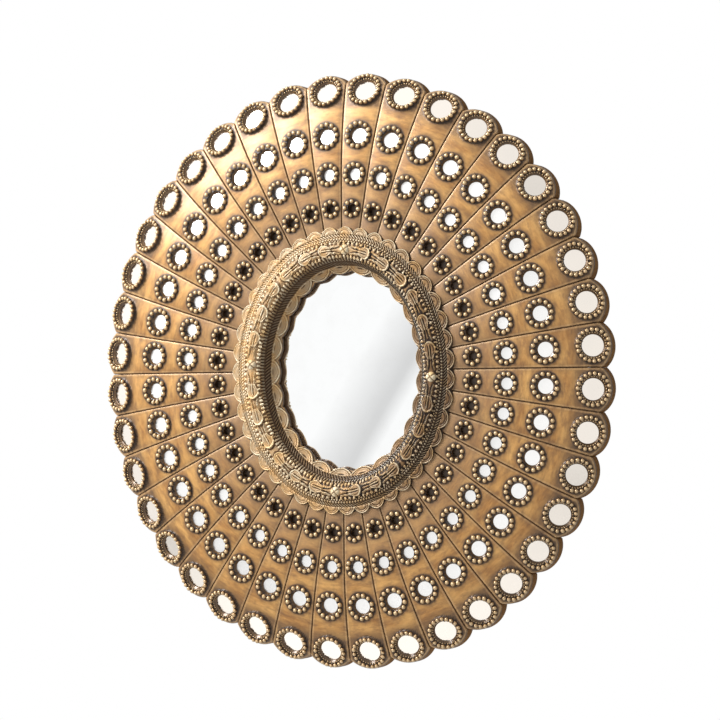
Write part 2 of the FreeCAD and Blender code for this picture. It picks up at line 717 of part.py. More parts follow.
def hanger_strap(side, sign):
    """A strap screwed to the back board, rolled into a loop at its top."""
    width, thick = SIZES["strap_width"], SIZES["strap_thickness"]
    centre = Vector(sign * SIZES["hanger_x"], -hinge_height, SIZES["hanger_z"])
    loop = primitive("Part::Cylinder", f"loop_{side}", {
        "Radius": "sizes.wire_radius + sizes.wire_play + sizes.strap_thickness",
        "Height": "sizes.strap_width",
    }, Placement(centre - X_AXIS * (width / 2), Rotation(Y_AXIS, 90)))
    bore = primitive("Part::Cylinder", f"loop_bore_{side}", {
        "Radius": "sizes.wire_radius + sizes.wire_play",
        "Height": "2 * sizes.strap_width",
    }, Placement(centre - X_AXIS * width, Rotation(Y_AXIS, 90)))
    plate = primitive("Part::Box", f"plate_{side}", {
        "Length": "sizes.strap_width",
        "Width": "sizes.strap_thickness",
        "Height": "sizes.strap_length",
    }, Placement(Vector(centre.x - width / 2, -board_rear, centre.z - SIZES["strap_length"]),
                 Rotation()))
    seats = [seat for seat in strap_seats if seat.x * sign > 0]
    drilled = holes(f"strap_holes_{side}", 3 * thick,
                    [seat + Y_AXIS * (2 * thick) for seat in seats])
    whole = fuse(f"strap_block_{side}", [loop, plate])
    node(cut(f"strap_{side}", whole, fuse(f"strap_tools_{side}", [bore, drilled])),
         f"hanger_strap_{side}")


def hanger_ring(side, sign):
    """A D-shaped wire ring that hangs from the strap's loop."""
    centre = Vector(sign * SIZES["hanger_x"], -hinge_height, SIZES["hanger_z"])
    reach, arm = SIZES["hanger_ring_radius"], SIZES["hanger_ring_arm"]
    wire = "sizes.wire_radius"
    pieces = [primitive("Part::Cylinder", f"bar_{side}", {
        "Radius": wire,
        "Height": "2 * sizes.hanger_ring_radius",
    }, Placement(centre - X_AXIS * reach, Rotation(Y_AXIS, 90)))]
    for end in (-1, 1):
        corner = centre + X_AXIS * (end * reach)
        pieces.append(primitive("Part::Sphere", f"corner_{side}_{end + 2}",
                                {"Radius": wire}, Placement(corner, Rotation())))
        pieces.append(primitive("Part::Cylinder", f"arm_{side}_{end + 2}", {
            "Radius": wire,
            "Height": "sizes.hanger_ring_arm",
        }, Placement(corner - Z_AXIS * arm, Rotation())))
    pieces.append(primitive("Part::Torus", f"bow_{side}", {
        "Radius1": "sizes.hanger_ring_radius",
        "Radius2": wire,
    }, Placement(centre - Z_AXIS * arm, Rotation(X_AXIS, -90))))
    pieces[-1].Angle3 = 180
    node(fuse(f"ring_wire_{side}", pieces), f"hanger_ring_{side}")


for side, sign in hanger_sides.items():
    hanger_strap(side, sign)
    hanger_ring(side, sign)
screws("hanger_screws", SIZES["short_screw_length"],
       [seat + Y_AXIS * SIZES["strap_thickness"] for seat in strap_seats])


# ---------------------------------------------------------------------- export
doc.recompute()
for thing in doc.Objects:
    if "Invalid" in thing.State or "Error" in thing.State:
        raise RuntimeError(f"{thing.Name} failed: {thing.State}")
os.makedirs("parts", exist_ok=True)
for thing in nodes:
    shape = thing.Shape
    if shape.isNull() or not shape.isValid() or not shape.Solids:
        raise RuntimeError(f"{thing.Label} has no valid solid")
for thing in nodes:
    thing.Shape.exportStep(f"parts/{thing.Label}.step")
print(f"{len(nodes)} nodes, {sum(len(thing.Shape.Solids) for thing in nodes)} solids")
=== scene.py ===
"""An oval sunburst wall mirror in antique gold: its looks, built round the fixed frame.

Shapes are worked out in millimetres and turned into metres when a mesh is made. An inset
is a distance inwards from the oval on which the outermost rosettes stand, and a height is
a distance in front of the wall.
"""

import math

import bpy
import numpy as np
from mathutils import Matrix, Vector


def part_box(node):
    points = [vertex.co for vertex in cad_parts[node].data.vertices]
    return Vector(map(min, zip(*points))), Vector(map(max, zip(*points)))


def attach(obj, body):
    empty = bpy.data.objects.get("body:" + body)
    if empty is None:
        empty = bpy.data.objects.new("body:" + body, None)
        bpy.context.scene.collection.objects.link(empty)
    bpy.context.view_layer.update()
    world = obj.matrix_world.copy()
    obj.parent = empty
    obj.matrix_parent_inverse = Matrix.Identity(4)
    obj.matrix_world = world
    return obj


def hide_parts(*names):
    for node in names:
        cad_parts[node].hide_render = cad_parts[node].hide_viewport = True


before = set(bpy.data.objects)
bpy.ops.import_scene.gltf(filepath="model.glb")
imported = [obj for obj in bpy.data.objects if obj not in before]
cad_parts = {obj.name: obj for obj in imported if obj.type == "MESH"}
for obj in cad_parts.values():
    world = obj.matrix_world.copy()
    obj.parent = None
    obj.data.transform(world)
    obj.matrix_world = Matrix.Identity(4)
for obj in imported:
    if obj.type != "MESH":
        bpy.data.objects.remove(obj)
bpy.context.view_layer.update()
rng = np.random.default_rng(11)

MM = 0.001
TURN = 2 * math.pi

# ------------------------------------------------------------------ sizes, in mm
# The oval of the outermost rosettes, then the petals: gaps between them, rounding of
# their edges, reach, the dome of their faces, their stepped rear, and the crown across.
RIM_HALF_WIDTH, RIM_HALF_HEIGHT = 326.0, 355.0
PETALS = 40
SEAM_GAP, REAR_SEAM_GAP = 0.6, 0.1
SEAM_ROUND, TIP_ROUND = 1.0, 2.6
PETAL_INNER = 184.0
TIP_REACH, TIP_RADIUS = 21.0, 36.0
PETAL_HEIGHT, DOME_INSET, DOME_RADIUS = 40.0, 120.0, 500.0
FOOT_HEIGHT, FOOT_INSET, SEAT_HEIGHT = 2.0, 12.0, 17.0
PILLOW = 1.3

# Distances from a petal's seams and tip at which its rounded edges have points, and the
# number of points along and across the rest.
EDGE_STEPS = np.array([0, 0.3, 0.8, 1.6])
TIP_STEPS = np.array([0, 0.35, 0.9, 1.8, 3.2])
PLAIN_ROWS, PLAIN_COLUMNS = 100, 25

# How far one petal's patch of the finish lies from the next one's, so that none repeats.
GRAIN_STEP = 37.0

# The rows of rosettes: inset, outward tilt in degrees, rise of the face above the petal,
# radius of the beaded ring, radius and number of its beads, radius and depth of the
# mirror or hole.
ROW_SIZES = ("inset", "tilt", "rise", "ring", "bead", "beads", "eye", "depth")
ROWS = {name: dict(zip(ROW_SIZES, sizes)) for name, sizes in {
    "outer": (0.0, 25, 1.4, 19.4, 2.7, 20, 13.4, 5.0),
    "middle": (58.1, 10, 1.0, 15.1, 3.1, 13, 9.4, 4.5),
    "inner": (107.5, 3, 1.0, 12.1, 3.05, 11, 7.3, 4.5),
    "blind": (151.0, 2, 1.0, 9.1, 2.95, 8, 4.8, 8.0),
}.items()}
# The bosses that carry them: slope and blend of their sides, rim at the top, and pit.
BOSS_FALL, BOSS_BLEND, BOSS_TOP, PIT_DEPTH = 2.4, 1.6, 0.4, 9.5
# The small beads inside the outer rings: number, radius of their ring, radius and drop.
FINE_BEADS, FINE_RING, FINE_RADIUS, FINE_DROP = 30, 16.0, 1.15, 1.6
MIRROR_THICKNESS, MIRROR_PLAY = 2.0, 0.2

# The carved ring: inset of its outer edge, width, and place of the crest across it, then
# the points round and across it, and the scallops of its outer flange and of its lip.
RING_OUTER, RING_WIDTH, CREST = 174.0, 58.0, 29.0
RING_STEPS, ACROSS_STEPS = 2300, 128
SCALLOPS, LIP_SCALLOPS, SCALLOP_STRETCH = 43, 25, 1.94
FLANGE_WIDTH, LIP_START, LIP_WIDTH = 9.2, 48.6, 9.4
# Its studs, and the turns of the studs and of the painted side light from the oval's axes.
STUD_RADIUS, STUD_RISE, STUD_LEVEL, STUD_TOP = 6.6, 5.2, 48.2, 53.2
STUD_TURN, SIDE_LIGHT_TURN = math.radians(3.5), math.radians(14)

# The ring's section, as (place across from its outer edge, height).
PROFILE = np.array([(0, 42.4), (8.6, 44.2), (9.6, 43.4), (12, 44.6), (19.2, 47.4), (20.2, 47.0),
                    (21.4, 48.2), (25, 50.3), (29, 51.0), (33, 50.3), (36.6, 48.0), (38, 46.2),
                    (39.2, 45.0), (43.4, 38.4), (48, 31.0), (48.8, 30.0), (53, 27.6), (58, 24.6)])
# Its bands of slanted ridges: number, place across and half width.
RIDGE_BANDS = ((250, 12.0, 2.8), (190, 45.8, 2.9))
# Its rows of beads: number, pitch, place across, radius and shift in pitches.
BEAD_ROWS = ((250, 3.8, 16.2, 1.5, 0), (250, 3.8, 18.8, 1.3, 0.5), (150, 5.8, 21.0, 1.8, 0),
             (165, 5.0, 37.6, 1.9, 0.5), (200, 4.0, 41.0, 1.75, 0))
# Its leaves: distance of their tips from a stud, place across and level of the ground.
LEAF_TIPS, LEAF_PLACE, LEAF_GROUND = (40.0, 72.0, 104.0), 29.2, -0.9
# A leaf's lobes: distance behind the tip, place to the sides, length, width and base.
LOBES = ((19, 6.4, 5.5, 3.7, 0.0), (10, 6.0, 6.5, 4.1, 0.25), (0, 0, 8.0, 7.2, 0.55))

GLASS_INSET, GLASS_FLATNESS, GLASS_CROWN, GLASS_THICKNESS = 225.0, 4.0, 7.0, 4.0


# ---------------------------------------------------------------- small helpers
def smoothstep(low, high, x):
    share = np.clip((x - low) / (high - low), 0, 1)
    return share * share * (3 - 2 * share)


def smooth_max(a, b, blend):
    near = np.maximum(blend - np.abs(a - b), 0) / blend
    return np.maximum(a, b) + near * near * blend / 4


def bump(x, centre, width):
    return np.exp(-((x - centre) / width) ** 2)


def on_oval(inset, angle):
    """x and z of the oval at an inset, at the oval's parameter angle."""
    return (RIM_HALF_WIDTH - inset) * np.cos(angle), (RIM_HALF_HEIGHT - inset) * np.sin(angle)


def length_along(inset, angles):
    """Length of the oval at an inset, from the first of the angles to each of them."""
    x, z = on_oval(inset, angles)
    return np.concatenate([[0], np.cumsum(np.hypot(np.diff(x), np.diff(z)))])


def equal_arcs(pieces, samples=7201):
    """Parameters that split the outer rosettes' oval into arcs of equal length."""
    angles = np.linspace(0, TURN, samples)
    length = length_along(0, angles)
    return np.interp(length[-1] * np.arange(pieces) / pieces, length, angles)


def linked(name, data):
    """A new object in the scene."""
    thing = bpy.data.objects.new(name, data)
    bpy.context.scene.collection.objects.link(thing)
    return thing


def grid_faces(rows, columns, closed=False):
    """Quads of a grid of points, row by row; a closed grid joins its last column to its first."""
    across = np.arange(columns if closed else columns - 1)
    low = (np.arange(rows - 1) * columns)[:, None]
    first, second = low + across, low + (across + 1) % columns
    quads = np.stack([first, second, second + columns, first + columns], -1)
    return quads.reshape(-1, 4)


def capped(rings, ends):
    """Closes a stack of rings of points into a solid, with a fan of faces to each end point."""
    rows, segments = rings.shape[:2]
    points = np.concatenate([rings.reshape(-1, 3), ends])
    here = np.arange(segments)
    following = (here + 1) % segments
    first, base = rows * segments, (rows - 1) * segments
    start = np.stack([np.full(segments, first), following, here], -1)
    end = np.stack([np.full(segments, first + 1), base + here, base + following], -1)
    return points, [grid_faces(rows, segments, closed=True), start, end]


class Shape:
    """Points, faces and per-point masks that grow part by part into one mesh.

    The masks are painted shade with some grime in the hollows, gold made pale by wear and
    painted highlights, and "brush", the place in mm that the patterns of a finish follow.
    """

    def __init__(self):
        self.points, self.faces, self.kinds = [], [], []
        self.masks = {"shade_and_grime": [], "wear_and_highlight": [], "brush": []}
        self.count = 0

    def add(self, points, faces, kind, shade_and_grime, wear_and_highlight, brush):
        """Adds groups of faces; kind is one place in the list of materials, or one a group."""
        amount = len(points)
        self.points.append(points)
        for group, finish in zip(faces, np.broadcast_to(kind, len(faces))):
            group = np.asarray(group) + self.count
            self.faces.append(group)
            self.kinds.append(np.full(len(group), finish))
        self.masks["shade_and_grime"].append(np.broadcast_to(shade_and_grime, amount))
        self.masks["wear_and_highlight"].append(np.broadcast_to(wear_and_highlight, amount))
        self.masks["brush"].append(np.broadcast_to(brush, (amount, 3)))
        self.count += amount

    def piece(self, name, materials, to_world=lambda points: points, sharp=40):
        """Makes the mesh and its object; edges over sharp degrees are kept crisp."""
        mesh = bpy.data.meshes.new(name)
        points = to_world(np.concatenate(self.points)) * MM
        sizes = np.concatenate([np.full(len(group), group.shape[1]) for group in self.faces])
        corners = np.concatenate([group.ravel() for group in self.faces])
        mesh.vertices.add(len(points))
        mesh.vertices.foreach_set("co", points.astype(np.float32).ravel())
        mesh.loops.add(len(corners))
        mesh.loops.foreach_set("vertex_index", corners.astype(np.int32))
        mesh.polygons.add(len(sizes))
        starts = np.concatenate([[0], np.cumsum(sizes)[:-1]])
        mesh.polygons.foreach_set("loop_start", starts.astype(np.int32))
        mesh.polygons.foreach_set("material_index", np.concatenate(self.kinds).astype(np.int32))
        mesh.polygons.foreach_set("use_smooth", np.ones(len(sizes), bool))
        for mask in ("shade_and_grime", "wear_and_highlight"):
            data = mesh.attributes.new(mask, "FLOAT", "POINT").data
            data.foreach_set("value", np.concatenate(self.masks[mask]).astype(np.float32))
        data = mesh.attributes.new("brush", "FLOAT_VECTOR", "POINT").data
        data.foreach_set("vector", np.concatenate(self.masks["brush"]).astype(np.float32).ravel())
        mesh.update(calc_edges=True)
        mesh.validate()
        mesh.set_sharp_from_angle(angle=math.radians(sharp))
        for material in materials:
            mesh.materials.append(material)
        thing = linked(name, mesh)
        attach(thing, "mirror")
        return thing


# -------------------------------------------------------------------- materials
def srgb(red, green, blue):
    """A colour as it shows on a screen, from 0 to 255, as linear light."""
    linear = [((c / 255 + 0.055) / 1.055) ** 2.4 if c > 10 else c / 255 / 12.92
              for c in (red, green, blue)]
    return (*linear, 1)


class Nodes:
    """Shader nodes of one material or world, made with short calls."""

    def __init__(self, name, owners=bpy.data.materials, shader="Principled BSDF"):
        self.owner = owners.new(name)
        self.owner.use_nodes = True
        self.tree = self.owner.node_tree
        self.shader = self.tree.nodes[shader]

    def new(self, kind, settings=None, **inputs):
        made = self.tree.nodes.new("ShaderNode" + kind)
        for key, item in (settings or {}).items():
            setattr(made, key, item)
        for key, item in inputs.items():
            self.feed(made.inputs[key.replace("_", " ")], item)
        return made

    def feed(self, socket, item):
        if isinstance(item, bpy.types.NodeSocket):
            self.tree.links.new(item, socket)
        else:
            socket.default_value = item

    def shade(self, **inputs):
        for key, item in inputs.items():
            self.feed(self.shader.inputs[key.replace("_", " ")], item)

    def mask(self, name, output="Fac"):
        return self.new("Attribute", {"attribute_name": name}).outputs[output]

    def noise(self, vector, scale, detail=3.0, roughness=0.55):
        made = self.new("TexNoise", Scale=scale, Detail=detail, Roughness=roughness)
        self.feed(made.inputs["Vector"], vector)
        return made.outputs["Fac"]

    def stretch(self, vector, scale):
        made = self.new("Mapping", Scale=scale)
        self.feed(made.inputs["Vector"], vector)
        return made.outputs["Vector"]

    def ramp(self, factor, low, high, to_low=0.0, to_high=1.0):
        made = self.new("MapRange")
        self.feed(made.inputs["Value"], factor)
        for key, item in (("From Min", low), ("From Max", high),
                          ("To Min", to_low), ("To Max", to_high)):
            self.feed(made.inputs[key], item)
        return made.outputs["Result"]

    def math(self, operation, first, second):
        made = self.new("Math", {"operation": operation})
        self.feed(made.inputs[0], first)
        self.feed(made.inputs[1], second)
        return made.outputs[0]

    def mix(self, factor, first, second):
        made = self.new("Mix", {"data_type": "RGBA"})
        self.feed(made.inputs["Factor"], factor)
        self.feed(made.inputs[6], first)
        self.feed(made.inputs[7], second)
        return made.outputs[2]

    def bumps(self, height, strength, distance):
        made = self.new("Bump", Strength=strength, Distance=distance)
        self.feed(made.inputs["Height"], height)
        self.feed(self.shader.inputs["Normal"], made.outputs["Normal"])


def petal_gold():
    """Brushed antique gold over brown, greyer towards the centre and darker in hollows with painted
    shade and some grime.
    """
    n = Nodes("petal_gold")
    brush = n.mask("brush", "Vector")
    streaks = n.noise(n.stretch(brush, (0.06, 0.26, 1)), 1.0, 5, 0.66)
    fine = n.noise(n.stretch(brush, (0.3, 1.4, 1)), 1.0, 3)
    clouds = n.noise(n.stretch(brush, (0.02, 0.055, 1)), 1.0, 3)
    outwards = n.new("SeparateXYZ", Vector=brush).outputs["Y"]
    gold = n.mix(n.ramp(streaks, 0.3, 0.7), srgb(138, 94, 50), srgb(194, 142, 80))
    gold = n.mix(n.ramp(clouds, 0.38, 0.68, 0, 0.75), gold, srgb(226, 176, 106))
    blotches = n.noise(n.stretch(brush, (0.06, 0.13, 1)), 1.0, 4, 0.62)
    gold = n.mix(n.ramp(blotches, 0.48, 0.74, 0, 0.8), gold, srgb(126, 92, 62))
    grey = n.math("MULTIPLY", n.ramp(outwards, -80, -170), n.ramp(fine, 0.2, 0.8, 0.4, 0.95))
    gold = n.mix(grey, gold, srgb(140, 113, 86))
    speckle = n.noise(brush, 0.6, 4, 0.7)
    gold = n.mix(n.ramp(speckle, 0.58, 0.76, 0, 0.55), gold, srgb(92, 64, 42))
    # Painted shade with some grime turns the gold grey-brown, and near-black brown where deepest.
    dark = n.math("MULTIPLY", n.mask("shade_and_grime"), n.ramp(blotches, 0.25, 0.75, 0.8, 1.25))
    colour = n.mix(n.ramp(dark, 0.05, 0.6), gold, srgb(104, 82, 62))
    colour = n.mix(n.ramp(dark, 0.5, 1.0), colour, srgb(42, 29, 20))
    # Wear and painted highlights make the rubbed edges pale.
    edges = n.math("MULTIPLY", n.mask("wear_and_highlight"), n.ramp(blotches, 0.3, 0.65, 1.2, 0.2))
    colour = n.mix(edges, colour, srgb(212, 182, 140))
    n.shade(Base_Color=colour, Metallic=0.15, Roughness=n.ramp(speckle, 0.25, 0.75, 0.3, 0.44))
    n.shade(Coat_Weight=n.ramp(dark, 0.1, 0.6, 0.25, 0.0), Coat_Roughness=0.22)
    n.shade(Specular_IOR_Level=0.3)
    n.bumps(n.math("ADD", fine, speckle), 0.3, 0.0004)
    return n.owner


def side_gold():
    """The same brown gold left matt on the petals' sides and rear."""
    n = Nodes("side_gold")
    brush = n.mask("brush", "Vector")
    patches = n.noise(brush, 0.12, 4)
    colour = n.mix(n.ramp(patches, 0.3, 0.7), srgb(112, 80, 48), srgb(158, 116, 70))
    n.shade(Base_Color=colour, Roughness=n.ramp(patches, 0.3, 0.7, 0.8, 0.68))
    n.shade(Specular_IOR_Level=0.08)
    n.bumps(n.noise(brush, 0.9, 3), 0.3, 0.0004)
    return n.owner


def rosette_gold():
    """Bronze gold, turned near-black brown by painted shade on collars and bead undersides, and
    pale on bead tops by wear and painted highlights.
    """
    n = Nodes("rosette_gold")
    brush = n.mask("brush", "Vector")
    patches = n.noise(brush, 0.35, 3)
    gold = n.mix(n.ramp(patches, 0.3, 0.7), srgb(138, 100, 58), srgb(184, 142, 88))
    # Painted shade with a little grime darkens towards near-black brown; wear and painted
    # highlights turn pale gold.
    dark = n.math("MULTIPLY", n.mask("shade_and_grime"), n.ramp(patches, 0.2, 0.8, 1.05, 0.85))
    colour = n.mix(dark, gold, srgb(46, 30, 20))
    colour = n.mix(n.mask("wear_and_highlight"), colour, srgb(230, 204, 158))
    n.shade(Base_Color=colour, Metallic=0.2, Roughness=n.ramp(patches, 0.3, 0.7, 0.36, 0.26))
    n.shade(Coat_Weight=0.3, Coat_Roughness=0.15)
    n.bumps(n.noise(brush, 1.4, 3), 0.3, 0.0003)
    return n.owner


def ring_gold():
    """Beige gold dry-brushed over grey-brown carving: its pale raised parts are partly wear and
    partly painted highlight, and its hollows are darkened by painted shade and grime.
    """
    n = Nodes("ring_gold")
    brush = n.mask("brush", "Vector")
    patches = n.noise(brush, 0.06, 4)
    grain = n.noise(brush, 0.8, 4, 0.65)
    gold = n.mix(n.ramp(patches, 0.4, 0.6), srgb(182, 156, 122), srgb(194, 154, 104))
    # Painted shade with some grime darkens towards brown and near-black brown; wear and painted
    # highlights make the raised parts pale.
    dark = n.math("MULTIPLY", n.mask("shade_and_grime"), n.ramp(grain, 0.2, 0.8, 1.2, 0.85))
    colour = n.mix(n.ramp(dark, 0.05, 0.6), gold, srgb(110, 80, 50))
    colour = n.mix(n.ramp(dark, 0.45, 1.0), colour, srgb(40, 27, 18))
    bright = n.mix(n.ramp(patches, 0.45, 0.6), srgb(240, 226, 194), srgb(228, 196, 142))
    colour = n.mix(n.mask("wear_and_highlight"), colour, bright)
    n.shade(Base_Color=colour, Metallic=0.1, Roughness=n.ramp(grain, 0.3, 0.7, 0.52, 0.38))
    n.shade(Coat_Weight=n.ramp(dark, 0.1, 0.6, 0.15, 0.0), Coat_Roughness=0.25)
    n.shade(Specular_IOR_Level=0.22)
    n.bumps(grain, 0.4, 0.0004)
    return n.owner


def object_noise(n, scale, detail, stretch=(1, 1, 1)):
    """Noise that follows a piece's own coordinates, in metres."""
    place = n.new("TexCoord").outputs["Object"]
    return n.noise(n.stretch(place, stretch), scale, detail)


def mirror_silver(name, tint, softness):
    """Silvered glass, with the faintest cloud and dust in its polish."""
    n = Nodes(name)
    haze = object_noise(n, 30, 4)
    colour = n.mix(n.ramp(haze, 0.45, 0.8, 0, 0.12), srgb(*tint), srgb(214, 212, 208))
    n.shade(Base_Color=colour, Metallic=1.0)
    n.shade(Roughness=n.ramp(haze, 0.3, 0.8, softness, softness + 0.04))
    n.shade(Coat_Weight=0.6, Coat_Roughness=0.02)
    return n.owner


def board_wood():
    """Sanded plywood with a soft grain that runs upwards."""
    n = Nodes("board_wood")
    grain = object_noise(n, 60, 5, (1, 1, 0.06))
    figure = object_noise(n, 9, 3, (1, 1, 0.15))
    pores = object_noise(n, 420, 2, (1, 1, 0.04))
    colour = n.mix(n.ramp(figure, 0.3, 0.7), srgb(176, 136, 92), srgb(203, 167, 121))
    colour = n.mix(n.ramp(grain, 0.4, 0.75, 0, 0.5), colour, srgb(140, 98, 60))
    colour = n.mix(n.ramp(pores, 0.62, 0.75, 0, 0.5), colour, srgb(92, 60, 36))
    n.shade(Base_Color=colour, Roughness=0.66)
    n.bumps(n.math("ADD", grain, pores), 0.35, 0.0004)
    return n.owner


def hardboard():
    """Brown hardboard with pale fibres."""
    n = Nodes("hardboard")
    fibres = object_noise(n, 380, 4, (1, 1, 0.5))
    clouds = object_noise(n, 12, 3)
    colour = n.mix(n.ramp(clouds, 0.3, 0.7), srgb(98, 66, 42), srgb(116, 80, 52))
    colour = n.mix(n.ramp(fibres, 0.5, 0.75, 0, 0.6), colour, srgb(146, 108, 72))
    n.shade(Base_Color=colour, Roughness=0.72)
    n.bumps(fibres, 0.4, 0.0003)
    return n.owner


def plated_steel(name, tint, roughness):
    """Plated steel with fine scratches and a little tarnish."""
    n = Nodes(name)
    scratches = object_noise(n, 900, 2, (1, 0.08, 0.3))
    tarnish = object_noise(n, 140, 4)
    colour = n.mix(n.ramp(tarnish, 0.5, 0.8, 0, 0.5), srgb(*tint), srgb(120, 112, 98))
    n.shade(Base_Color=colour, Metallic=1.0)
    n.shade(Roughness=n.ramp(tarnish, 0.3, 0.7, roughness, roughness + 0.15))
    n.bumps(scratches, 0.15, 0.0001)
    return n.owner


def bumper_rubber():
    """Matt black rubber."""
    n = Nodes("bumper_rubber")
    grain = object_noise(n, 700, 3)
    colour = n.mix(n.ramp(grain, 0.3, 0.7), srgb(26, 25, 24), srgb(44, 42, 40))
    n.shade(Base_Color=colour, Roughness=0.8)
    n.bumps(grain, 0.3, 0.0002)
    return n.owner


# ----------------------------------------------------------------------- petals
half_pitches = equal_arcs(2 * PETALS)
petal_angles = half_pitches[1::2]
seam_angles = np.append(half_pitches[0::2], TURN)


def surface_height(inset):
    """Height of the petals' plain face, level inside and falling away towards the rim."""
    fall = np.maximum(0, DOME_INSET - inset)
    return PETAL_HEIGHT - DOME_RADIUS + np.sqrt(DOME_RADIUS ** 2 - fall ** 2)


def petal_to_world(index):
    """Turns points (across, outwards, height) of a petal's own frame into the row frame."""
    angle = petal_angles[index]
    x0, z0 = on_oval(0, angle)
    sine, cosine = math.sin(angle), math.cos(angle)

    def turn(points):
        across, out, height = points.T
        return np.stack([x0 + across * sine + out * cosine, -height,
                         z0 - across * cosine + out * sine], -1)
    return turn


def seam_line(index, seam, side):
    """The petal's edge along one seam, as (place across at the rosette, slope outwards)."""
    angle, seam_angle = petal_angles[index], seam_angles[seam]
    along = np.array([math.cos(angle), math.sin(angle)])
    across = np.array([math.sin(angle), -math.cos(angle)])
    direction = np.array([math.cos(seam_angle), math.sin(seam_angle)])
    start = np.array(on_oval(0, seam_angle)) - np.array(on_oval(0, angle))
    slope = direction @ across / (direction @ along)
    place = start @ across - start @ along * slope
    return place - side * SEAM_GAP / 2, slope


def boss_radius(row):
    """Radius of the boss under a rosette, a little outside the middles of its beads."""
    return row["ring"] + 0.4 * row["bead"]


def rosette_plane(row, across, out):
    """Height of a rosette's tilted face, and the distance from its axis, at a place."""
    tilt = math.radians(row["tilt"])
    beyond = out + row["inset"]
    height = surface_height(row["inset"]) + row["rise"] / math.cos(tilt) - beyond * math.tan(tilt)
    return height, np.hypot(across, beyond / math.cos(tilt))


# Places of the finishes in the petals' list of materials.
FACE, ROSETTE, SIDE = range(3)


